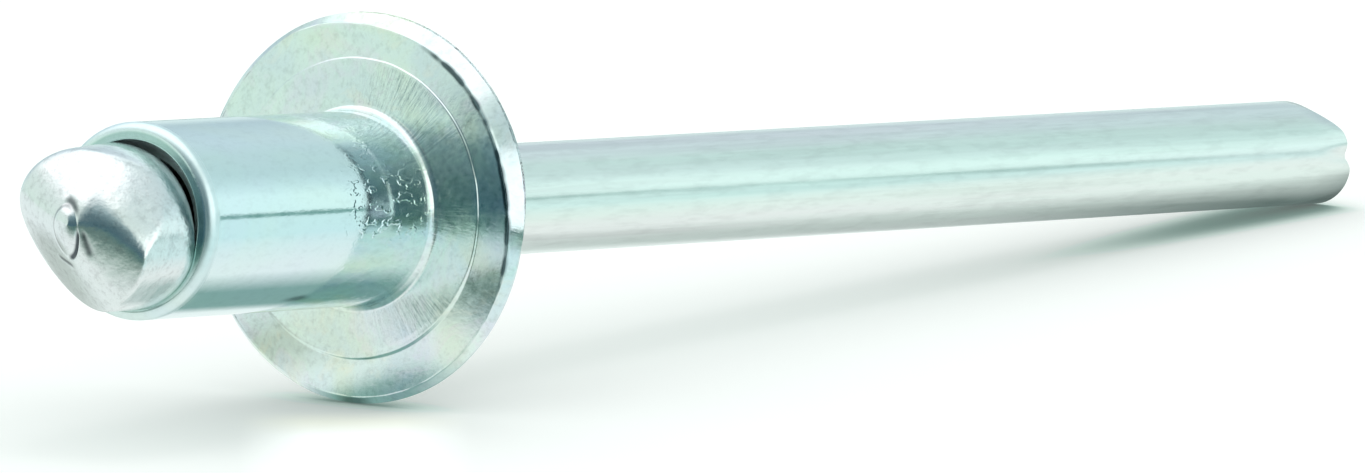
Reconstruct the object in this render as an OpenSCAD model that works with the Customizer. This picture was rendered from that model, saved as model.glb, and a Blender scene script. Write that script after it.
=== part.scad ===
// Protruding-head blind rivet, unset, lying on a flat surface.
// It rests on the rim of its flange and on the tail end of its mandrel.
// The rivet's own axis is Z in the modules: Z = 0 is the bearing face under the
// flange and +Z points to the blind end. The last step lays it down along X.

/* [Flange] */
// Outside diameter of the flange
flange_d = 9.5; // [8.9:0.05:10.1]
// Height of the flange from its bearing face to its domed top
flange_h = 1.15; // [1.05:0.05:1.4]
// Thickness of the flange at its rim
rim_t = 0.5; // [0.45:0.05:0.6]
// Diameter of the raised bearing disc under the flange
disc_d = 7.28; // [6.9:0.02:7.6]
// Height of the step at the edge of the bearing disc
disc_step = 0.07; // [0.04:0.01:0.1]

/* [Sleeve] */
// Outside diameter of the sleeve
sleeve_d = 4.74; // [4.65:0.01:4.88]
// Length of the sleeve from the bearing face to its open end
sleeve_l = 9.05; // [7.5:0.05:12]
// Radius of the fillet between sleeve and flange
root_r = 0.2; // [0.1:0.05:0.3]
// Radius of the rolled corner at the open end
mouth_r = 0.22; // [0.15:0.01:0.25]
// Depth of the cone that opens the bore at the open end
mouth_cone = 0.55; // [0.3:0.05:0.6]

/* [Mandrel] */
// Diameter of the mandrel's stem
stem_d = 2.73; // [2.6:0.01:2.8]
// Length of the mandrel from the bearing face to its tail end
stem_l = 42.6; // [36:0.1:50]
// Radial play between the stem and the bore
bore_play = 0.05; // [0.03:0.01:0.08]
// Diameter of the mandrel's head
head_d = 4.24; // [4.1:0.02:4.4]
// Height of the mandrel's head above the sleeve, without the nub
head_h = 2.66; // [2.4:0.02:2.9]
// Depth of the groove where the mandrel breaks
break_depth = 0.35; // [0.2:0.05:0.5]

/* [Hidden] */

flange_r = flange_d / 2;
disc_r = disc_d / 2;
sleeve_r = sleeve_d / 2;
stem_r = stem_d / 2;
bore_r = stem_r + bore_play;
head_r = head_d / 2;

// Flange: rolled rim, sloping outer ring and domed far side
ring_slope = 0.1;
step_run = 0.05;
rim_r = rim_t / 3;
rim_near_z = -disc_step - ring_slope - rim_r;
rim_far_z = -disc_step - rim_t + rim_r;
dome_rise = flange_h - disc_step - rim_t;
dome_r = (flange_r * flange_r + dome_rise * dome_rise) / (2 * dome_rise);

// Mandrel head: belly, rounded shoulder and low cone up to a blunt tip
shoulder_h = 0.7 * head_h;
shoulder_r = 0.5;
shoulder_turn = 25;
tip_r = 0.4;
// Side of the belly squeezed by the jaws: direction, round that is left, offset
squeeze_turn = -40;
squeeze_r = 1.1 * head_r;
squeeze_shift = 0.25 * head_r;
// Nub left at the tip: ball, width, rise over the head, place beside the axis
nub_r = 0.62;
nub_w = 0.66;
nub_rise = 0.17;
nub_drop = 0.14;
nub_aside = 0.16;
// Each facet of the nose: direction round the axis, lean of its normal from
// the axis, and distance from the centre of the head's base
FACETS = [[-50, 63, 1.93], [145, 42, 2.08], [5, 29, 2.36], [-125, 19, 2.48], [95, 27, 2.6]];

// Break groove, just inside the open end
break_z = sleeve_l - 1.1;
break_w = 1.1 * break_depth;
break_flat = 0.05;

// Tail end, sheared and pinched by the cutter
tail_bevel = 0.5;
bevel_turn = 48;
tail_groove = 0.2;
tail_shear = 14;
tail_lip = stem_r * tan(tail_shear);

// Lying pose: the axis leans so that the rim and the tail both touch Z = 0
lean_rise = flange_r - rim_r - stem_r;
lean_run = stem_l + tail_lip + rim_far_z;
lean = atan(lean_rise / lean_run) + asin(rim_r / norm([lean_rise, lean_run]));
axis_z = (flange_r - rim_r) * cos(lean) + rim_r - rim_far_z * sin(lean);
nose_x = -(sleeve_l + head_h + nub_rise) * cos(lean);
tail_x = (stem_l + tail_lip) * cos(lean) - stem_r * sin(lean);

// How far a shape runs into its neighbour, and a block larger than the rivet's head
lap = 0.1;
big = 4 * flange_r;
$fn = 96;

// Half section of the flange, from the bore out to the rim
module flange_section() {
    intersection() {
        translate([0, dome_r - flange_h]) circle(r = dome_r, $fn = 360);
        polygon([
            [bore_r, 0],
            [disc_r, 0],
            [disc_r + step_run, -disc_step],
            [flange_r - rim_r, rim_near_z + rim_r],
            [flange_r - rim_r, rim_far_z - rim_r],
            [flange_r - rim_r, -flange_h],
            [bore_r, -flange_h]
        ]);
    }
    // rolled rim
    translate([flange_r - rim_r, rim_near_z]) circle(r = rim_r);
    translate([flange_r - rim_r, rim_far_z]) circle(r = rim_r);
    translate([flange_r - 2 * rim_r, rim_far_z]) square([2 * rim_r, rim_near_z - rim_far_z]);
}

// Half section of the sleeve, with its root fillet and its rolled open end
module sleeve_section() {
    difference() {
        union() {
            translate([bore_r, -lap]) square([sleeve_r - bore_r, sleeve_l + lap - mouth_r]);
            translate([bore_r, sleeve_l - 2 * mouth_r])
                square([sleeve_r - mouth_r - bore_r, 2 * mouth_r]);
            translate([sleeve_r - mouth_r, sleeve_l - mouth_r]) circle(r = mouth_r);
        }
        // cone in the mouth, which the mandrel's head closes
        polygon([
            [0, sleeve_l - mouth_cone],
            [bore_r, sleeve_l - mouth_cone],
            [bore_r + mouth_cone, sleeve_l],
            [bore_r + mouth_cone, sleeve_l + lap],
            [0, sleeve_l + lap]
        ]);
    }
    difference() {
        translate([sleeve_r - lap, -lap]) square([root_r + lap, root_r + lap]);
        translate([sleeve_r + root_r, root_r]) circle(r = root_r);
    }
}

// Sleeve and flange, headed from one slug
module rivet_body() {
    color("gainsboro") lay_down() rotate_extrude() {
        flange_section();
        sleeve_section();
    }
}

// Half section of the stem with its break groove
module stem_section() {
    difference() {
        translate([0, -stem_l - tail_lip]) square([stem_r, stem_l + tail_lip + sleeve_l + lap]);
        polygon([
            [stem_r + lap, break_z - break_w - lap],
            [stem_r - break_depth, break_z - break_flat],
            [stem_r - break_depth, break_z + break_flat],
            [stem_r + lap, break_z + break_w + lap]
        ]);
    }
}

// Half section of the head before its nose is pinched
module head_section() {
    intersection() {
        square([head_r, head_h]);
        union() {
            square([head_r, shoulder_h - shoulder_r]);
            translate([head_r - shoulder_r, shoulder_h - shoulder_r]) circle(r = shoulder_r);
            polygon([
                [0, 0],
                [head_r - shoulder_r, 0],
                [
                    head_r - shoulder_r * (1 - sin(shoulder_turn)),
                    shoulder_h - shoulder_r * (1 - cos(shoulder_turn))
                ],
                [tip_r, head_h],
                [0, head_h]
            ]);
        }
    }
}

// One flat pressed on the nose by the cutter's jaws
module facet(turn, slope, reach) {
    rotate([0, 0, turn]) rotate([0, slope, 0])
        translate([-big / 2, -big / 2, reach]) cube([big, big, big]);
}

// What the jaws take off one side of the belly, so that a gap opens to the sleeve
module squeezed_side() {
    rotate([0, 0, squeeze_turn]) difference() {
        translate([-big / 2, -big / 2, -lap]) cube([big, big, big]);
        translate([-squeeze_shift, 0, -2 * lap]) cylinder(r = squeeze_r, h = big + 2);
    }
}

// Head of the mandrel: faceted nose, one squeezed side and the nub at its tip
module head() {
    difference() {
        rotate_extrude() head_section();
        for (f = FACETS) facet(f[0], f[1], f[2]);
        squeezed_side();
    }
    intersection() {
        translate([-nub_drop, nub_aside, head_h + nub_rise - nub_r]) sphere(r = nub_r);
        translate([-big / 2, nub_aside - nub_w / 2, 0]) cube([big, nub_w, big]);
    }
}

// Tail end of the stem: bevelled above, grooved across and longer below
module tail_cut() {
    translate([0, 0, -stem_l]) {
        // oblique shear, so that the lower lip stands out
        rotate([0, -tail_shear, 0]) translate([-big / 2, -big / 2, -big]) cube([big, big, big]);
        // bevel on the upper edge
        translate([stem_r, 0, 0]) rotate([0, -bevel_turn, 0])
            translate([-big / 2, -big / 2, -big + tail_bevel]) cube([big, big, big]);
        // groove left by the cutter's edge
        translate([0, -big / 2, 0]) rotate([0, 45, 0]) translate([-tail_groove, 0, -tail_groove])
            cube([2 * tail_groove, big, 2 * tail_groove]);
    }
}

// Mandrel: stem, break groove and head are one piece of wire
module mandrel() {
    color("silver") lay_down() difference() {
        union() {
            rotate_extrude() stem_section();
            translate([0, 0, sleeve_l]) head();
        }
        tail_cut();
    }
}

// Lays the rivet along X, blind end towards -X, with the middle of its length
// over the origin
module lay_down() {
    translate([-(nose_x + tail_x) / 2, 0, axis_z]) rotate([0, lean - 90, 0]) children();
}

rivet_body();
mandrel();
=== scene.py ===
"""A zinc-plated blind rivet, unset, lying on a white surface on its flange rim and stem end."""

import math

import bpy
import numpy as np
from mathutils import Matrix, Vector

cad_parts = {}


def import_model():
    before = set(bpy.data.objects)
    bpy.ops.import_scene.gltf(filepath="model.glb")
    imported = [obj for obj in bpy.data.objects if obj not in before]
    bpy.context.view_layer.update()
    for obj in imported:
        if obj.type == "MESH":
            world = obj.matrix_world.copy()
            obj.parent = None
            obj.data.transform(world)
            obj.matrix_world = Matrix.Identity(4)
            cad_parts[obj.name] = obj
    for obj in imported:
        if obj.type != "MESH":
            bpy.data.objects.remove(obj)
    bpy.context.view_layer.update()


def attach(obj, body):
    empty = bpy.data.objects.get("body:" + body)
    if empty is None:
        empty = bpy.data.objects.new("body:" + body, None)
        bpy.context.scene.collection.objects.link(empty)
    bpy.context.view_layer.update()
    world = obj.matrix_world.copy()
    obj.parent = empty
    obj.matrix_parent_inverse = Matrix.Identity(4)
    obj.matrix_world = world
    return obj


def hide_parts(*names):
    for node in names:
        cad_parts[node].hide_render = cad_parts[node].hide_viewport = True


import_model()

MM = 0.001

# The rivet's own frame, in mm: Z runs along the axis to the blind end, X points
# up and Y away from the viewer, with Z = 0 on the bearing face under the flange.
# Directions round the axis are in degrees: 0 is up, -90 faces the viewer's right
FLANGE_R = 4.75
FLANGE_H = 1.15
RIM_T = 0.5
DISC_R = 3.64
DISC_STEP = 0.07
RING_SLOPE = 0.1
SLEEVE_R = 2.37
SLEEVE_L = 9.05
ROOT_R = 0.2
MOUTH_R = 0.22
MOUTH_CONE = 0.55
STEM_R = 1.365
STEM_L = 42.6
BORE_PLAY = 0.05
BORE_R = STEM_R + BORE_PLAY
HEAD_R = 2.12
HEAD_H = 2.66
NUB_RISE = 0.17
# the groove where the mandrel breaks: its depth, and how far it lies inside the open end
BREAK_DEPTH = 0.35
BREAK_IN = 1.1
BREAK_Z = SLEEVE_L - BREAK_IN
TAIL_SHEAR = math.radians(14)

# Lying pose: the rim and the tail both touch the floor
RIM_R = RIM_T / 3
RIM_NEAR_Z = -DISC_STEP - RING_SLOPE - RIM_R
RIM_FAR_Z = -DISC_STEP - RIM_T + RIM_R
DOME_RISE = FLANGE_H - DISC_STEP - RIM_T
TAIL_LIP = STEM_R * math.tan(TAIL_SHEAR)
LEAN_RISE = FLANGE_R - RIM_R - STEM_R
LEAN_RUN = STEM_L + TAIL_LIP + RIM_FAR_Z
LEAN = math.atan(LEAN_RISE / LEAN_RUN) + math.asin(RIM_R / math.hypot(LEAN_RISE, LEAN_RUN))
AXIS_Z = (FLANGE_R - RIM_R) * math.cos(LEAN) + RIM_R - RIM_FAR_Z * math.sin(LEAN)
NOSE_X = -(SLEEVE_L + HEAD_H + NUB_RISE) * math.cos(LEAN)
TAIL_X = (STEM_L + TAIL_LIP) * math.cos(LEAN) - STEM_R * math.sin(LEAN)
PLACE = Vector((-(NOSE_X + TAIL_X) / 2, 0, AXIS_Z)) * MM
LAY_DOWN = Matrix.Translation(PLACE) @ Matrix.Rotation(LEAN - math.pi / 2, 4, "Y")

# Viewing angle of the photograph, and its size in pixels
VIEW_AZIMUTH = math.radians(-54.03)
VIEW_ELEVATION = math.radians(7.96)
VIEW_DISTANCE = 439.8 * MM
VIEW_LENS = 478.9
SENSOR_W = 36
FRAME_W = 1365
FRAME_H = 473
# where the centre of the bearing face falls in the frame
BEARING_U = 353.6
BEARING_V = 207.4

# How finely the meshes are divided round the axis, over the head and along the stem
BODY_TURNS = 400
STEM_TURNS = 160
STEM_ROWS = 60
HEAD_TURNS = 440
HEAD_LEANS = 190


def smooth(x, low, high):
    """0 below low, 1 above high, and smooth between."""
    t = np.clip((x - low) / (high - low), 0, 1)
    return t * t * (3 - 2 * t)


def ridge(distance, width):
    """1 where the distance is 0, fading away over about the width."""
    return np.exp(-((distance / width) ** 2))


def towards(turn, degrees):
    """Cosine of the angle between a turn round the axis and a direction."""
    return np.cos(turn - math.radians(degrees))


def wave(turn, seed, low, high, fall):
    """A closed random wave round the axis, from low to high waves a turn."""
    random = np.random.default_rng(seed)
    total = np.zeros_like(turn)
    for k in range(low, high + 1):
        total += random.normal() * k ** -fall * np.cos(k * turn + random.uniform(0, 2 * math.pi))
    return total


def arc(cx, cy, r, start, end, steps):
    """Points of a circular arc, angles in degrees."""
    angles = np.radians(np.linspace(start, end, steps))
    return [(cx + r * math.cos(a), cy + r * math.sin(a)) for a in angles]


def line(a, b, steps):
    """Points from a towards b, without b."""
    return [(a[0] + (b[0] - a[0]) * i / steps, a[1] + (b[1] - a[1]) * i / steps) for i in range(steps)]


def lathe(profile, segments, bend):
    """A grid of points from a half section turned about Z. bend(turn, r, z) moves them."""
    section = np.array(profile)
    turn = np.linspace(0, 2 * math.pi, segments, endpoint=False)
    full = np.ones((len(section), segments))
    r, z = bend(turn * full, section[:, :1] * full, section[:, 1:] * full)
    return np.stack([r * np.cos(turn), r * np.sin(turn), z], -1)


def grid_mesh(name, points):
    """A mesh over a grid of points in mm, whose last column is joined to the first."""
    rows, cols, _ = points.shape
    left = np.arange(rows * cols).reshape(rows, cols)
    right = np.roll(left, -1, axis=1)
    quads = np.stack([left[:-1], right[:-1], right[1:], left[1:]], -1).reshape(-1, 4)
    mesh = bpy.data.meshes.new(name)
    mesh.from_pydata((points.reshape(-1, 3) * MM).tolist(), [], quads.tolist())
    mesh.shade_smooth()
    mesh.update()
    return mesh


def mark_fold_shade(mesh, depth):
    """Keeps on each point how much painted shade its fold gets, for the material."""
    values = depth.astype(np.float32).ravel()
    mesh.attributes.new("fold", "FLOAT", "POINT").data.foreach_set("value", values)


def place(mesh, name, node, material):
    """Puts a mesh made in the rivet's own frame where the CAD node lies."""
    piece = bpy.data.objects.new(name, mesh)
    bpy.context.scene.collection.objects.link(piece)
    piece.matrix_world = LAY_DOWN
    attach(piece, "root")
    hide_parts(node)
    mesh.materials.append(material)


# Sleeve and flange
# How the worn flange differs from the solid: the disc falls away a little towards
# its step, and the ring starts and ends lower
DISC_DISH = 0.058
STEP_W = 0.04
RING_IN_SINK = 0.028
RING_OUT_SINK = 0.02
# the ring's border is steeper: its width, and the share of the fall that lies inside it
BORDER_W = 0.2
INSIDE_FALL = 0.78
# small rounds on the edge of the mouth's cone and at the far end of the bore
CONE_EDGE_R = 0.06
BORE_EDGE_R = 0.1
# how far the bore is drawn at its two ends
MOUTH_SEEN = 1.6
BORE_SEEN = 0.4
# how far round the rim's far side is rolled, in degrees
RIM_WRAP = 66

# The rim's ragged lip: where it is widest and where it is folded over, its width,
# what it gains at its widest, its raggedness, and the slope beyond it
LIP_WIDEST = -42
LIP_FOLDED = -68
LIP_W = 0.13
LIP_MORE = 0.20
LIP_RAGGED = 0.008
LIP_SLOPE = 1.15
# the burr along the lip, and the painted dark shade of the fold beside it: how far inside the lip, and how
# wide
BURR_IN = 0.015
BURR_W = 0.02
BURR_H = 0.012
BURR_ROUGH = 0.010
LIP_SHADE_IN = 0.055
LIP_SHADE_W = 0.065
# waviness of the disc's step and of the disc itself
STEP_WAVY = 0.012
DISC_WAVY = 0.004
# how far down the lip and the rim's near side reach
LIP_LOW = -0.35
NEAR_SIDE_LOW = -0.56


def body_profile():
    """Half section from the bore at the mouth, over the sleeve and flange, back to the bore."""
    # the cone in the mouth, its edge, the end face and the rolled corner
    seat = (BORE_R, SLEEVE_L - MOUTH_CONE)
    cone_r = BORE_R + MOUTH_CONE
    profile = line((BORE_R, SLEEVE_L - MOUTH_SEEN), seat, 6)
    profile += line(seat, (cone_r - CONE_EDGE_R * 2 / 3, SLEEVE_L - CONE_EDGE_R * 2 / 3), 10)
    profile += arc(cone_r + CONE_EDGE_R / 2, SLEEVE_L - CONE_EDGE_R, CONE_EDGE_R, 135, 90, 5)
    profile += line((cone_r + CONE_EDGE_R, SLEEVE_L), (SLEEVE_R - MOUTH_R, SLEEVE_L), 4)
    profile += arc(SLEEVE_R - MOUTH_R, SLEEVE_L - MOUTH_R, MOUTH_R, 90, 0, 14)
    # the sleeve, its root and the disc with its step
    profile += line((SLEEVE_R, SLEEVE_L - MOUTH_R - 0.05), (SLEEVE_R, ROOT_R), 40)
    profile += arc(SLEEVE_R + ROOT_R, ROOT_R, ROOT_R, 180, 270, 12)
    profile += line((SLEEVE_R + ROOT_R + 0.02, 0), (DISC_R, -DISC_DISH), 24)
    step_foot = -DISC_STEP - RING_IN_SINK
    profile.append((DISC_R, -DISC_DISH))
    profile.append((DISC_R + 0.3 * STEP_W, -DISC_DISH - 0.006))
    profile.append((DISC_R + 0.625 * STEP_W, step_foot + 0.004))
    # the ring and its steeper border
    rim_mid = FLANGE_R - RIM_R
    ring_out = (rim_mid, RIM_NEAR_Z + RIM_R - RING_OUT_SINK)
    border = (rim_mid - BORDER_W, step_foot + (ring_out[1] - step_foot) * INSIDE_FALL)
    profile += line((DISC_R + STEP_W, step_foot), border, 26)
    profile += line(border, ring_out, 30)
    # the rim, the domed far side and the bore's far end
    profile += arc(rim_mid, RIM_NEAR_Z - RING_OUT_SINK, RIM_R, 90, 0, 12)
    profile += arc(rim_mid, RIM_FAR_Z, RIM_R, 0, -RIM_WRAP, 10)
    dome_edge = rim_mid + RIM_R * math.cos(math.radians(RIM_WRAP)) - 0.03
    dome_r = (FLANGE_R**2 + DOME_RISE**2) / (2 * DOME_RISE)
    for r in np.linspace(dome_edge, BORE_R + BORE_EDGE_R, 40):
        profile.append((r, -FLANGE_H + dome_r - math.sqrt(dome_r**2 - r**2)))
    bore_edge_z = -FLANGE_H + BORE_EDGE_R + 0.02
    profile += arc(BORE_R + BORE_EDGE_R, bore_edge_z, BORE_EDGE_R, -90, -180, 5)
    profile += line((BORE_R, bore_edge_z + 0.02), (BORE_R, BORE_SEEN), 6)
    return profile


def lip_radius(turn):
    """Where the rim starts to fall away: a ragged lip, widest towards the viewer's upper right."""
    wide = smooth(towards(turn, LIP_WIDEST), 0.3, 0.95)
    return FLANGE_R - LIP_W - LIP_MORE * wide + LIP_RAGGED * wave(turn, 3, 3, 50, 0.8)


def folded(turn):
    """How strongly the rim's lip is folded over: most towards the viewer's right."""
    return smooth(towards(turn, LIP_FOLDED), 0.66, 0.86)


def worn_body(turn, r, z):
    """The small unevenness of cold heading: a rolled-over rim edge and a wavy step."""
    lip = lip_radius(turn)
    fall = RIM_NEAR_Z + RIM_R - RING_OUT_SINK - LIP_SLOPE * np.maximum(r - lip, 0)
    beyond_lip = (z < 0) * (z > NEAR_SIDE_LOW) * (r > lip)
    z = np.where(beyond_lip, np.minimum(z, fall), z)
    burr = ridge(r - lip + BURR_IN, BURR_W) * (z > LIP_LOW) * (z < 0)
    rough = np.clip(wave(turn, 4, 4, 70, 0.6), -1, 1)
    z = z + burr * (BURR_H + BURR_ROUGH * rough) * (0.45 + 0.55 * folded(turn))
    at_step = ridge(r - DISC_R, 0.05) * (z > -0.2) * (z < 0.1)
    r = r + at_step * wave(turn, 5, 2, 30, 1.0) * STEP_WAVY
    on_disc = smooth(r, 2.6, 3.6) * (1 - smooth(r, 3.6, DISC_R)) * (np.abs(z) < 0.05)
    z = z + on_disc * wave(turn, 9, 2, 6, 1.0) * DISC_WAVY
    return r, z


def lip_fold_shade(turn, r, z):
    """How much painted shade the fold inside the rim's lip gets."""
    ragged = 0.85 + 0.30 * np.clip(wave(turn, 8, 6, 70, 0.5), -1, 1)
    beside_lip = ridge(r - lip_radius(turn) + LIP_SHADE_IN, LIP_SHADE_W) * (z > LIP_LOW) * (z < 0)
    return beside_lip * (0.12 + 0.95 * folded(turn)) * ragged


def rivet_body():
    points = lathe(body_profile(), BODY_TURNS, worn_body)
    mesh = grid_mesh("rivet_body_plated", points)
    x, y, z = np.moveaxis(points, -1, 0)
    mark_fold_shade(mesh, lip_fold_shade(np.arctan2(y, x), np.hypot(x, y), z))
    place(mesh, "plated_body", "rivet_body", plated_steel())


# Mandrel
# The head is drawn as distances from this height on the axis
CORE = 1.0
# lean of its outermost points from the axis, next to its seat
LAST_LEAN = math.pi - 0.35
# Flats of the pinched nose: direction round the axis, lean of the normal from the
# axis, distance from the base centre
FACETS = [(-50, 63, 1.925), (145, 42, 2.14), (5, 29, 2.40), (-125, 17, 2.52), (95, 27, 2.72)]
# radius of their slight bulge
BULGE_R = 9.0
# low cone between the flats: its slope, and the height of its point
CONE_SLOPE = math.radians(22)
CONE_TIP = HEAD_H + 0.1
# Side of the belly squeezed by the jaws: its direction, the round that is left, how
# far it is moved and sunk, its taper towards the nose, and its last lean by the seat
SQUEEZE_TURN = -40
SQUEEZE_R = 1.1 * HEAD_R
SQUEEZE_SHIFT = 0.27 * HEAD_R
SQUEEZE_SINK = 0.03
SQUEEZE_TAPER = 0.06
SQUEEZE_LAST = 2.6
# how far the belly is out of round, and where its edge is crisp
BELLY_OVAL = 0.04
BELLY_CRISP = -110
# the metal is folded only above this height over the head's base
NOSE_FROM = 1.2
# Nub at the tip: its middle beside the axis, its half widths and how far it stands up
NUB_X = -0.14
NUB_Y = 0.16
NUB_HALF_X = 0.60
NUB_HALF_Y = 0.36
NUB_LIFT = 0.045
# Fold beside the nub, darkened with painted shade: its middle and its slant
SIDE_FOLD_X = -0.42
SIDE_FOLD_Y = -0.44
SIDE_FOLD_SLANT = 0.25
# Tail: the bevel's lower edge and depth, the groove's depth and width, and how far
# from the tail the stem is whole again
BEVEL_FROM = 0.55
BEVEL_DEPTH = 0.75
GROOVE_DEPTH = 0.28
GROOVE_W = 0.22
TAIL_CUT = 1.6
# half width of the break groove at the surface and at its bottom
BREAK_HALF = 0.45
BREAK_FLAT = 0.05


def head_points():
    """The head as distances from its core, cut by the belly, a low cone and the flats."""
    full = np.ones((HEAD_LEANS, HEAD_TURNS))
    turn = np.linspace(0, 2 * math.pi, HEAD_TURNS, endpoint=False)[None, :] * full
    lean = np.linspace(0.002, LAST_LEAN, HEAD_LEANS)[:, None] * full
    ux = np.sin(lean) * np.cos(turn)
    uy = np.sin(lean) * np.sin(turn)
    uz = np.cos(lean)
    far = 50.0
    least = 1e-4

    def until(distance, along):
        """How far a ray runs to a surface that lies at a distance along its normal."""
        return np.where(along > least, distance / np.maximum(along, least), far)

    def flat(toward, slope, distance):
        """One flat, which bulges as a sphere of radius BULGE_R."""
        a, s = math.radians(toward), math.radians(slope)
        nx, ny, nz = math.sin(s) * math.cos(a), math.sin(s) * math.sin(a), math.cos(s)
        deep = BULGE_R - (distance - nz * CORE)
        along = nx * ux + ny * uy + nz * uz
        return -deep * along + np.sqrt(BULGE_R**2 - deep**2 * (1 - along**2))

    def nearest(reach, crispness):
        """The nearest of several distances, with edges rounded by about 1 / crispness mm."""
        middling, longest = 1.5, 12
        total = sum(np.exp(-crispness * (np.minimum(d, longest) - middling)) for d in reach)
        return middling - np.log(total) / crispness

    cone_along = math.cos(CONE_SLOPE) * uz + math.sin(CONE_SLOPE) * np.sin(lean)
    nose = [until(math.cos(CONE_SLOPE) * (CONE_TIP - CORE), cone_along)]
    nose += [flat(*facet) for facet in FACETS]
    # the belly: round, and squeezed on one side that narrows a little towards the nose
    off = turn - math.radians(SQUEEZE_TURN)
    side = -SQUEEZE_SHIFT * np.cos(off) + np.sqrt(SQUEEZE_R**2 - (SQUEEZE_SHIFT * np.sin(off)) ** 2)
    side = side - SQUEEZE_SINK - SQUEEZE_TAPER * CORE
    side = side / np.maximum(np.sin(lean) + SQUEEZE_TAPER * uz, 1e-3)
    round_side = (HEAD_R + BELLY_OVAL * np.sin(turn)) / np.maximum(np.sin(lean), least)
    belly = [round_side, np.where(lean < SQUEEZE_LAST, side, far)]
    # the belly's edge is crisp towards the viewer's lower right and worn round elsewhere
    crisp = 0.5 + 0.5 * towards(turn, BELLY_CRISP)
    r = nearest([nearest(nose, 7), nearest(belly, 20), until(CORE, -uz)], 14 + 40 * crisp**2)
    return r * ux, r * uy, r * uz + CORE


def nub(x, y, z):
    """Raises the sheared nub at the tip and folds the metal round it. Also gives how much painted shade
    each fold gets.
    """
    # place on the nub, whose edge is where rho is 1
    u = (x - NUB_X) / NUB_HALF_X
    v = (y - NUB_Y) / NUB_HALF_Y
    rho = np.hypot(u, v)
    rise = NUB_LIFT * (1 - smooth(rho, 0.55, 1.12))
    # a hooked fold on the viewer's right of the nub, and another fold beyond it
    hook = ridge(rho - 1.08, 0.11) * smooth(-v, -0.35, 0.35) * smooth(-u, -0.25, 0.35)
    lengthwise = (x - SIDE_FOLD_X) + SIDE_FOLD_SLANT * (y - SIDE_FOLD_Y)
    across = (y - SIDE_FOLD_Y) - SIDE_FOLD_SLANT * (x - SIDE_FOLD_X)
    side_fold_w = np.maximum(0.105 - 0.09 * lengthwise, 0.01)
    side_fold = ridge(across, side_fold_w) * smooth(0.44 - np.abs(lengthwise), 0, 0.25)
    # a short fold below it, one over its top, a painted dark line round it and the dip round it
    lower = ridge(u + 1.45 - 0.25 * v, 0.10) * (1 - smooth(np.abs(v - 0.7), 0.4, 0.9))
    over = ridge(rho - 1.20, 0.20) * smooth(u, 0.4, 0.95) * smooth(-v, -0.5, 0.2)
    outline = ridge(rho - 0.98, 0.10) * smooth(v + 0.6 * u, -0.6, 0.5)
    dip = ridge(rho - 1.06, 0.10)
    # each with how much painted shade it gets and how far it sinks, in mm
    folds = [(hook, 1.1, 0.05), (side_fold, 0.62, 0.02), (lower, 0.62, 0.02), (over, 0.62, 0.01),
             (outline, 0.42, 0), (dip, 0, 0.01)]
    dark = np.maximum.reduce([fold * tone for fold, tone, _ in folds])
    sink = sum(fold * depth for fold, _, depth in folds)
    on_nose = z > NOSE_FROM
    return z + np.where(on_nose, rise - sink, 0), np.where(on_nose, dark, 0)


def tail_face(x):
    """Height of the sheared tail at distance x above the axis."""
    bevel = smooth(x, BEVEL_FROM, STEM_R) * BEVEL_DEPTH
    groove = GROOVE_DEPTH * ridge(x, GROOVE_W)
    return -STEM_L + x * math.tan(TAIL_SHEAR) + bevel + groove


def stem_points():
    """Stem from its sheared tail to the break groove inside the sleeve."""
    turn = np.linspace(0, 2 * math.pi, STEM_TURNS, endpoint=False)[None, :]

    def ring(r, z):
        return np.stack([r * np.cos(turn), r * np.sin(turn), z * np.ones_like(turn)], -1)

    # the tail's face, out to the small round on its edge
    face = [(r, 0) for r in np.linspace(0.001, STEM_R - 0.05, 26)]
    face += [(STEM_R - 0.02, 0.02), (STEM_R, 0.07)]
    rows = [ring(r, tail_face(r * np.cos(turn)) + lift) for r, lift in face]
    # the stem, the break groove and the shank up to the head
    neck = STEM_R - BREAK_DEPTH
    section = [(STEM_R, z) for z in np.linspace(-STEM_L + TAIL_CUT, BREAK_Z - BREAK_HALF, STEM_ROWS)]
    section += [(neck, BREAK_Z - BREAK_FLAT), (neck, BREAK_Z + BREAK_FLAT)]
    section += [(STEM_R, BREAK_Z + BREAK_HALF), (STEM_R, SLEEVE_L + 0.1)]
    rows += [ring(r, z) for r, z in section]
    return np.concatenate(rows, 0)


def mandrel():
    place(grid_mesh("stem", stem_points()), "plated_mandrel", "mandrel", drawn_wire())
    x, y, z = head_points()
    # dark is the painted shade in the folds round the nub
    z, dark = nub(x, y, z)
    head = grid_mesh("head", np.stack([x, y, z + SLEEVE_L], -1))
    mark_fold_shade(head, dark)
    place(head, "pinched_head", "mandrel", pinched_metal())


# Materials
def rgba(colour):
    """A colour with its alpha. A single number is a grey."""
    return (*colour, 1) if isinstance(colour, tuple) else (colour, colour, colour, 1)


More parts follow.
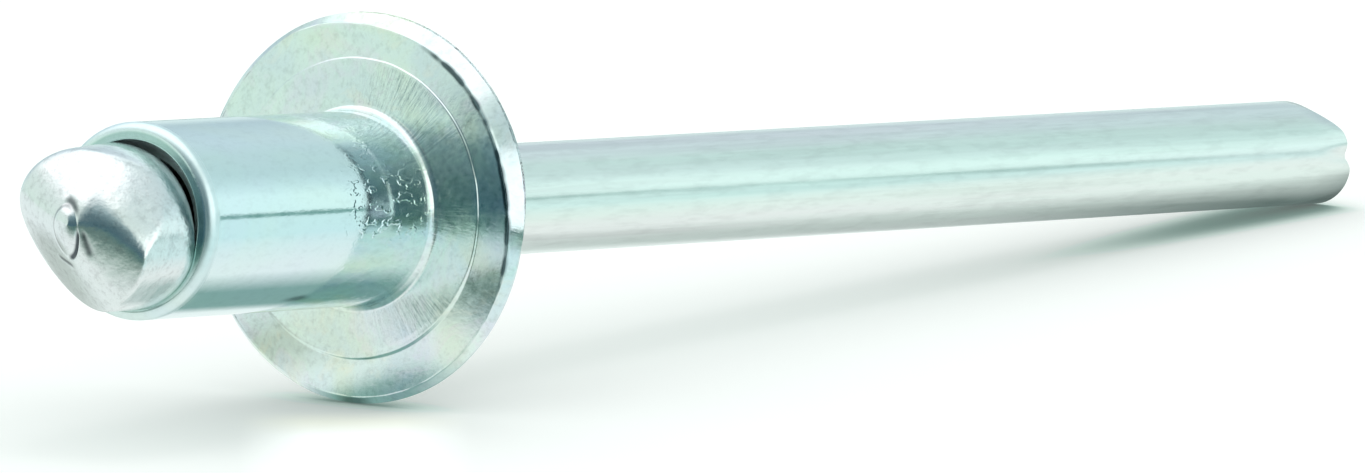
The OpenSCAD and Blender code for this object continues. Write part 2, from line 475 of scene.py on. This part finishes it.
class Nodes:
    """Short forms for building a node tree."""

    def __init__(self, tree):
        self.tree = tree
        tree.nodes.clear()

    def node(self, kind):
        return self.tree.nodes.new(kind)

    def put(self, value, socket):
        """Feeds a socket from another one, or sets its colour, vector or number."""
        if isinstance(value, bpy.types.NodeSocket):
            self.tree.links.new(value, socket)
        elif socket.type == "RGBA":
            socket.default_value = rgba(value)
        else:
            socket.default_value = value

    def split(self, vector):
        """The three components of a vector."""
        n = self.node("ShaderNodeSeparateXYZ")
        self.put(vector, n.inputs["Vector"])
        return n.outputs["X"], n.outputs["Y"], n.outputs["Z"]

    def sums(self, *terms, plus=0.0):
        """Each term's value times its factor, all added up."""
        total = plus
        for value, factor in terms:
            n = self.node("ShaderNodeMath")
            n.operation = "MULTIPLY_ADD"
            for socket, v in zip(n.inputs, (value, factor, total)):
                self.put(v, socket)
            total = n.outputs[0]
        return total

    def vector(self, kind, *values):
        """A sum over vectors. Length and distance give a number."""
        n = self.node("ShaderNodeVectorMath")
        n.operation = kind
        for socket, v in zip(n.inputs, values):
            self.put(v, socket)
        return n.outputs["Value" if kind in ("LENGTH", "DISTANCE") else "Vector"]

    def ramp(self, value, stops):
        """A colour or mask that changes along a value. Stops are (place from 0 to 1, colour)."""
        n = self.node("ShaderNodeValToRGB")
        while len(n.color_ramp.elements) < len(stops):
            n.color_ramp.elements.new(0.5)
        for element, (spot, colour) in zip(n.color_ramp.elements, stops):
            element.position = spot
            element.color = rgba(colour)
        self.put(value, n.inputs["Fac"])
        return n.outputs["Color"]

    def zone(self, length, stops):
        """A colour or mask that changes along a length in metres. Stops are (place in mm, colour)."""
        low, high = stops[0][0], stops[-1][0]
        share = self.sums((length, 1 / ((high - low) * MM)), plus=-low / (high - low))
        return self.ramp(share, [((spot - low) / (high - low), colour) for spot, colour in stops])

    def mix(self, factor, a, b, kind="MIX"):
        n = self.node("ShaderNodeMix")
        n.data_type = "RGBA"
        n.blend_type = kind
        for name, v in (("Factor", factor), ("A", a), ("B", b)):
            self.put(v, n.inputs[name])
        return n.outputs["Result"]

    def product(self, first, *others):
        """Masks or colours multiplied together."""
        for other in others:
            first = self.mix(1.0, first, other, "MULTIPLY")
        return first

    def glow(self, kind, colour, strength):
        """Light of its own, of a surface or of the world."""
        n = self.node(kind)
        self.put(colour, n.inputs["Color"])
        self.put(strength, n.inputs["Strength"])
        return n.outputs[0]

    def choose(self, factor, otherwise, chosen):
        """The chosen shader where the factor is 1."""
        n = self.node("ShaderNodeMixShader")
        for socket, v in zip(n.inputs, (factor, otherwise, chosen)):
            self.put(v, socket)
        return n.outputs[0]


class Surface(Nodes):
    """A material's nodes. Its patterns follow the mesh's own place, in metres."""

    def __init__(self, name):
        self.material = bpy.data.materials.new(name)
        self.material.use_nodes = True
        super().__init__(self.material.node_tree)
        self.out = self.node("ShaderNodeOutputMaterial")
        self.shader = self.node("ShaderNodeBsdfPrincipled")
        self.put(self.shader.outputs["BSDF"], self.out.inputs["Surface"])
        self.where = self.node("ShaderNodeTexCoord").outputs["Object"]
        self.x, self.y, self.z = self.split(self.where)

    def look(self, **values):
        """Sets the shader's colour, roughness and normal."""
        names = {"colour": "Base Color", "roughness": "Roughness", "normal": "Normal"}
        for key, value in values.items():
            self.put(value, self.shader.inputs[names[key]])

    def fold(self):
        """The mesh's own mark of painted shade in folds of the metal, 0 to 1."""
        n = self.node("ShaderNodeAttribute")
        n.attribute_name = "fold"
        return self.ramp(n.outputs["Fac"], [(0.12, 0), (0.7, 1)])

    def off_axis(self):
        """The place's part square to the rivet's axis."""
        return self.vector("MULTIPLY", self.where, (1, 1, 0))

    def radius(self):
        """Distance from the rivet's axis."""
        return self.vector("LENGTH", self.off_axis())

    def far_from(self, x, y):
        """Distance over the floor from a point in mm."""
        return self.vector("DISTANCE", self.where, (x * MM, y * MM, 0))

    def texture(self, vector, scale, detail, rough, distortion=0.0):
        n = self.node("ShaderNodeTexNoise")
        for name, v in (("Vector", vector), ("Scale", scale), ("Detail", detail),
                        ("Roughness", rough), ("Distortion", distortion)):
            self.put(v, n.inputs[name])
        return n.outputs["Fac"]

    def noise(self, scale, stretch=(1, 1, 1), turn=(0, 0, 0), detail=4, rough=0.5, distortion=0.0):
        """Noise over the piece, with scale in waves per metre."""
        n = self.node("ShaderNodeMapping")
        n.inputs["Scale"].default_value = stretch
        n.inputs["Rotation"].default_value = turn
        self.put(self.where, n.inputs["Vector"])
        return self.texture(n.outputs["Vector"], scale, detail, rough, distortion)

    def rays(self, scale, detail):
        """Noise that runs out from the axis like strokes."""
        outward = self.vector("NORMALIZE", self.off_axis())
        drawn_out = self.vector("MULTIPLY_ADD", self.where, (25, 25, 0), outward)
        return self.texture(drawn_out, scale, detail, 0.65)

    def bump(self, height, strength, depth, below=None):
        """Relief with a depth in mm, laid over the relief below it."""
        n = self.node("ShaderNodeBump")
        n.inputs["Strength"].default_value = strength
        n.inputs["Distance"].default_value = depth * MM
        self.put(height, n.inputs["Height"])
        if below is not None:
            self.put(below, n.inputs["Normal"])
        return n.outputs["Normal"]


def metal(name):
    """A bare metal surface."""
    m = Surface(name)
    m.shader.inputs["Metallic"].default_value = 1
    return m


def plated_steel():
    """Bright zinc plate over headed steel: tinted and brushed on the flange, calmer on the sleeve."""
    m = metal("bright_zinc_body")
    headed = m.zone(m.z, [(0, 1), (0.5, 0)])
    radius = m.radius()
    grain = m.noise(5200, (1, 1, 0.5), detail=5, rough=0.65)

    # tints of the passivated zinc: stronger on the flange, with faint lavender and straw bands
    calm = m.ramp(m.noise(330, (1, 1, 0.6), detail=3, distortion=0.8),
                  [(0.3, (0.74, 0.85, 0.89)), (0.5, (0.73, 0.87, 0.87)), (0.7, (0.75, 0.88, 0.83))])
    lively = m.ramp(m.noise(620, detail=5, rough=0.6, distortion=0.6),
                    [(0.30, (0.74, 0.86, 0.90)), (0.42, (0.80, 0.87, 0.87)), (0.50, (0.77, 0.90, 0.85)),
                     (0.58, (0.76, 0.89, 0.86)), (0.66, (0.81, 0.89, 0.82)), (0.74, (0.83, 0.86, 0.84))])
    bands = m.ramp(m.noise(300, detail=2, distortion=1.2),
                   [(0.36, (0.95, 0.94, 1)), (0.5, 1), (0.62, (1, 0.985, 0.90))])
    speckle = m.mix(headed, m.ramp(grain, [(0.32, 0.93), (0.5, 0.99), (0.7, 1)]),
                    m.ramp(grain, [(0.32, 0.84), (0.5, 0.97), (0.7, 1)]))
    clean = m.product(m.mix(headed, calm, lively), speckle, m.mix(headed, 1, bands))

    # painted shade: the flat end face is darker than the rolled corner round it
    corner = SLEEVE_R - MOUTH_R
    end_face = m.product(m.zone(m.z, [(SLEEVE_L - 0.03, 0), (SLEEVE_L - 0.015, 1)]),
                         m.zone(radius, [(corner - 0.03, 1), (corner + 0.03, 0)]))
    clean = m.product(clean, m.mix(end_face, 1, (0.60, 0.72, 0.68)))
    # painted shade: dark in the fold inside the rim's lip
    m.look(colour=m.mix(m.fold(), clean, (0.10, 0.14, 0.15)))

    # rougher on the flange, and most inside the mouth
    smooth_skin = m.ramp(grain, [(0.35, 0.05), (0.7, 0.11)])
    brushed = m.ramp(grain, [(0.35, 0.10), (0.7, 0.18)])
    mouth = m.zone(m.z, [(SLEEVE_L - 0.4, 0), (SLEEVE_L - 0.3, 1), (SLEEVE_L - 0.01, 1), (SLEEVE_L, 0)])
    m.look(roughness=m.mix(mouth, m.mix(headed, smooth_skin, brushed), 0.38))

    # brush strokes on the disc in patches, fine grain everywhere
    disc = m.zone(radius, [(DISC_R - 0.065, 1), (DISC_R + 0.06, 0.12)])
    patches = m.ramp(m.noise(330, detail=2), [(0.40, 0.15), (0.60, 1)])
    brush = m.bump(m.product(m.rays(26, 6), headed, disc, patches), 0.28, 0.03)
    fine = m.bump(grain, 0.10, 0.02, brush)
    # small knocks towards the root of the sleeve, in a band at the height of its axis
    knocks = m.ramp(m.noise(3400, (1, 1, 0.6), detail=2, rough=0.6, distortion=0.2),
                    [(0.53, 0), (0.60, 1)])
    root = m.zone(m.z, [(0.025, 0.04), (0.3, 0.5), (1.25, 1), (2.5, 0.8), (3.75, 0)])
    band = m.zone(m.x, [(-0.6, 0.15), (-0.2, 1), (0.8, 1), (1.4, 0.2)])
    m.look(normal=m.bump(m.product(knocks, root, band), 0.46, 0.03, fine))
    return m.material


def drawn_wire():
    """Zinc plate over drawn wire, with lines along the stem."""
    m = metal("bright_zinc_wire")
    tint = m.noise(900, (1, 1, 0.02), detail=4)
    lines = m.noise(2400, (1, 1, 0.02), detail=6, rough=0.6)
    grain = m.noise(4500, (1, 1, 0.2), detail=4, rough=0.6)
    colour = m.ramp(tint, [(0.36, (0.82, 0.92, 0.86)), (0.5, (0.84, 0.90, 0.86)),
                           (0.64, (0.87, 0.88, 0.865))])
    streaks = m.ramp(lines, [(0.36, 0.90), (0.52, 1)])
    speckle = m.ramp(grain, [(0.36, 0.93), (0.52, 1)])
    m.look(colour=m.product(colour, streaks, speckle),
           roughness=m.ramp(lines, [(0.3, 0.14), (0.7, 0.26)]),
           normal=m.bump(lines, 0.22, 0.02))
    return m.material


def pinched_metal():
    """Pressed nose: brighter, smeared and pitted, with painted dark shade in the folds round the nub."""
    m = metal("bright_zinc_head")
    colour = m.ramp(m.noise(420, detail=4, distortion=0.5),
                    [(0.3, (0.82, 0.86, 0.88)), (0.7, (0.78, 0.86, 0.83))])
    speckle = m.ramp(m.noise(5000, detail=5, rough=0.7), [(0.34, 0.80), (0.5, 0.97), (0.7, 1)])
    smear = m.noise(2200, (1, 0.3, 1), (0.4, 0.2, 0.5), detail=6, rough=0.65)
    dents = m.bump(m.noise(900, detail=4, rough=0.6), 0.35, 0.08)
    # painted shade in the folds round the nub
    m.look(colour=m.mix(m.fold(), m.product(colour, speckle), (0.09, 0.11, 0.12)),
           roughness=m.ramp(smear, [(0.35, 0.15), (0.7, 0.27)]),
           normal=m.bump(smear, 0.30, 0.02, dents))
    return m.material


# Stage
# where the flange's rim touches the floor, round which a painted shadow lies, and the way over the floor
# in which the flange throws painted light back
FOOT = (-15.5, 0)
THROW_X = -0.809
THROW_Y = -0.587


def mirrored_paper(m):
    """The paper's tone in the metal's reflections, over the floor in mm, with painted shadow under the
    rivet.
    """
    # past the blind end it darkens away from the rivet, up to a line aslant behind it
    ahead = m.zone(m.x, [(-50, (0.14, 0.22, 0.20)), (-46, (0.18, 0.27, 0.25)), (-41.5, (0.30, 0.40, 0.36)),
                         (-38, (0.46, 0.56, 0.52)), (-35, (0.68, 0.76, 0.73)), (-31.5, (0.96, 1.0, 0.99))])
    aslant = m.zone(m.sums((m.x, 0.482), (m.y, 0.876)),
                    [(-11.26, 1), (-7.93, 0.7), (-6.18, 0.42), (-3.72, 0)])
    grey = m.mix(aslant, (0.92, 0.99, 0.98), ahead)
    # behind the blind end
    grey = m.mix(m.zone(m.far_from(-21, 10), [(3, 1), (7, 0)]), grey, (0.60, 0.66, 0.63))
    # more cyan farther out on the viewer's side
    grey = m.product(grey, m.zone(m.y, [(-13.75, (0.80, 0.97, 0.99)), (-5, 1)]))
    # painted shadow below the sleeve
    across = m.zone(m.y, [(-3.8, 0), (-1.6, 1), (0.6, 1), (2.1, 0)])
    along = m.zone(m.x, [(-23, 0), (-19.6, 1), (-14, 1), (-11, 0)])
    grey = m.mix(m.product(across, along), grey, (0.27, 0.43, 0.40))
    # painted shadow where the flange touches it
    grey = m.mix(m.zone(m.far_from(*FOOT), [(0.2, 1), (0.64, 0)]), grey, (0.10, 0.17, 0.16))
    # painted shadow below the stem, darkest at its tail
    across = m.zone(m.y, [(-2.2, 0), (-0.5, 1), (1, 1), (2.8, 0)])
    along = m.zone(m.x, [(-12, 0), (-5, 0.35), (12.5, 0.5), (25, 0.95), (30, 0.9), (35, 0)])
    grey = m.mix(m.product(across, along), grey, (0.10, 0.15, 0.14))
    # the paper's far end beyond the stem
    return m.mix(m.zone(m.x, [(90, 0), (140, 1)]), grey, (0.20, 0.38, 0.36))


def thrown_light(m):
    """A painted pool of the light that the flange throws on the paper before it."""
    outward = m.zone(m.sums((m.x, THROW_X), (m.y, THROW_Y)),
                     [(13.9, 0), (15.7, (0.17, 0.16, 0.08)), (17.7, (0.26, 0.27, 0.26)), (23.5, 0.16)])
    sideways = m.zone(m.sums((m.x, -THROW_Y), (m.y, THROW_X)),
                      [(-11.82, 0), (-10.22, 1), (-7.98, 1), (-6.22, 0)])
    return m.product(outward, sideways)


def white_paper():
    """White, with painted teal shade in the creases under the rivet and a painted pool of light from the
    flange, and toned where only the metal mirrors it.
    """
    m = Surface("white_paper")
    m.shader.inputs["Roughness"].default_value = 0.9
    m.shader.inputs["Specular IOR Level"].default_value = 0
    # painted contact shade: the paper turns dark teal where the rivet closes over it
    contact_shade = m.node("ShaderNodeAmbientOcclusion")
    contact_shade.inputs["Distance"].default_value = 1.1 * MM
    m.look(colour=m.ramp(contact_shade.outputs["AO"], [(0.30, (0.20, 0.38, 0.33)), (0.65, (0.72, 0.85, 0.80)),
                                                 (0.95, (0.955, 0.98, 0.965))]))
    path = m.node("ShaderNodeLightPath")
    # blown out a little in the picture, as in the photograph
    # with a painted pool of light from the flange added
    lifted = m.mix(1.0, (0.12, 0.135, 0.13), thrown_light(m), "ADD")
    lift = m.glow("ShaderNodeEmission", lifted, path.outputs["Is Camera Ray"])
    paper = m.node("ShaderNodeAddShader")
    m.put(m.shader.outputs["BSDF"], paper.inputs[0])
    m.put(lift, paper.inputs[1])
    # the metal throws little light back on the paper
    strength = m.sums((path.outputs["Diffuse Depth"], -0.7), plus=1.0)
    mirrored = m.glow("ShaderNodeEmission", mirrored_paper(m), strength)
    m.put(m.choose(path.outputs["Is Glossy Ray"], paper.outputs[0], mirrored), m.out.inputs["Surface"])
    return m.material


def floor():
    size = 0.6
    mesh = bpy.data.meshes.new("floor")
    corners = [(-size, -size, 0), (size, -size, 0), (size, size, 0), (-size, size, 0)]
    mesh.from_pydata(corners, [], [(0, 1, 2, 3)])
    sheet = bpy.data.objects.new("floor", mesh)
    bpy.context.scene.collection.objects.link(sheet)
    mesh.materials.append(white_paper())


def mirrored_room(w):
    """What the metal mirrors: bright panels, a dark room on the viewer's side, a line at the horizon."""
    bright = (0.95, 1.0, 1.0)
    x, y, z = w.split(w.node("ShaderNodeTexCoord").outputs["Generated"])
    # height 0.5 is the horizon; 0.5 + sin(elevation) / 2 above it
    height = w.sums((z, 0.5), plus=0.5)
    # beside the stem: cyan towards the viewer's right, greyer behind
    near = w.ramp(height, [(0.49, (0.18, 0.30, 0.29)), (0.503, (0.18, 0.30, 0.29)),
                           (0.51, (0.60, 0.73, 0.73)), (0.60, (0.60, 0.73, 0.73)),
                           (0.66, (0.50, 0.62, 0.63)), (0.71, (0.43, 0.54, 0.55)),
                           (0.925, (0.48, 0.55, 0.56)), (0.945, bright)])
    behind = w.ramp(height, [(0.49, (0.3, 0.4, 0.4)), (0.5, (0.50, 0.60, 0.60)),
                             (0.56, (0.52, 0.61, 0.62)), (0.64, (0.38, 0.46, 0.50)),
                             (0.8, (0.50, 0.58, 0.62)), (0.9, bright)])
    beside = w.mix(w.ramp(w.sums((y, 1), plus=0.5), [(0.4, 0), (0.6, 1)]), near, behind)
    # past the blind end: grey green low down, a white panel behind and above
    past = w.ramp(height, [(0.47, (0.52, 0.61, 0.56)), (0.52, (0.55, 0.64, 0.59)),
                           (0.60, (0.56, 0.64, 0.60)), (0.80, (0.56, 0.62, 0.60)),
                           (0.925, (0.52, 0.58, 0.58)), (0.945, bright)])
    past = w.mix(w.ramp(w.sums((y, 0.25), (z, 1)), [(0.67, 0), (0.76, 1)]), past, 1)
    seen = w.mix(w.ramp(w.sums((x, -0.5), plus=0.5), [(0.35, 0), (0.6, 1)]), beside, past)
    # a dark room on the viewer's side, its top edge climbing towards the viewer
    dark = w.ramp(height, [(0.5, (0.045, 0.10, 0.13)), (0.62, (0.055, 0.10, 0.12)),
                           (0.70, (0.08, 0.135, 0.155)), (0.785, (0.15, 0.22, 0.24)),
                           (0.84, (0.26, 0.34, 0.36)), (1.0, (0.45, 0.52, 0.54))])
    to_room = w.sums((x, -0.93), (y, -0.36))
    seen = w.mix(w.ramp(w.sums((to_room, 1.2), (z, -1)), [(0.668, 0), (0.715, 1)]), seen, dark)
    seen = w.mix(w.ramp(w.sums((to_room, 1), (z, 0.3)), [(0.73, 0), (0.89, 1)]), seen, dark)
    # a bright light to the right of the viewer
    return w.mix(w.ramp(w.sums((y, -1)), [(0.72, 0), (0.79, 1)]), seen, bright)


def world():
    """White to the camera, a toned room to the metal, and soft light to the paper."""
    studio = bpy.data.worlds.new("studio")
    bpy.context.scene.world = studio
    studio.use_nodes = True
    w = Nodes(studio.node_tree)
    path = w.node("ShaderNodeLightPath")
    _, _, z = w.split(w.node("ShaderNodeTexCoord").outputs["Generated"])
    # greener low down, so that the shadows are green too, and lit more from the sides than from above
    soft = w.glow("ShaderNodeBackground", w.ramp(z, [(0, (0.84, 1.0, 0.94)), (1, (1.02, 0.96, 0.985))]),
                  w.sums((z, -1.2), plus=1.8))
    # the metal throws little light back on the paper
    room = w.glow("ShaderNodeBackground", mirrored_room(w),
                  w.sums((path.outputs["Diffuse Depth"], -1.35), plus=1.45))
    white = w.glow("ShaderNodeBackground", 1, 1)
    unseen = w.choose(path.outputs["Is Glossy Ray"], soft, room)
    out = w.node("ShaderNodeOutputWorld")
    w.put(w.choose(path.outputs["Is Camera Ray"], unseen, white), out.inputs["Surface"])


def lamp():
    """A soft light overhead."""
    data = bpy.data.lights.new("soft_top", "AREA")
    data.shape = "SQUARE"
    data.size = 0.12
    data.energy = 0.06
    light = bpy.data.objects.new("soft_top", data)
    bpy.context.scene.collection.objects.link(light)
    light.location = (-0.02, -0.03, 0.32)
    light.rotation_euler = (-light.location).to_track_quat("-Z", "Y").to_euler()
    light.visible_glossy = False


def camera():
    """The photograph's camera: a long lens, a little above the floor, from the blind end's side."""
    data = bpy.data.cameras.new("view")
    data.lens = VIEW_LENS
    data.sensor_width = SENSOR_W
    data.clip_start = 0.01
    data.clip_end = 10
    cam = bpy.data.objects.new("view", data)
    bpy.context.scene.collection.objects.link(cam)
    back = Vector((math.sin(VIEW_AZIMUTH) * math.cos(VIEW_ELEVATION),
                   -math.cos(VIEW_AZIMUTH) * math.cos(VIEW_ELEVATION),
                   math.sin(VIEW_ELEVATION)))
    focal = VIEW_LENS / SENSOR_W * FRAME_W
    turn = (-back).to_track_quat("-Z", "Y").to_matrix()
    centre = turn @ Vector(((FRAME_W / 2 - BEARING_U) / focal, -(FRAME_H / 2 - BEARING_V) / focal, -1))
    cam.location = PLACE + back * VIEW_DISTANCE
    cam.rotation_euler = centre.to_track_quat("-Z", "Y").to_euler()
    bpy.context.scene.camera = cam


bpy.context.scene.view_settings.view_transform = "Standard"
camera()
floor()
world()
lamp()
rivet_body()
mandrel()
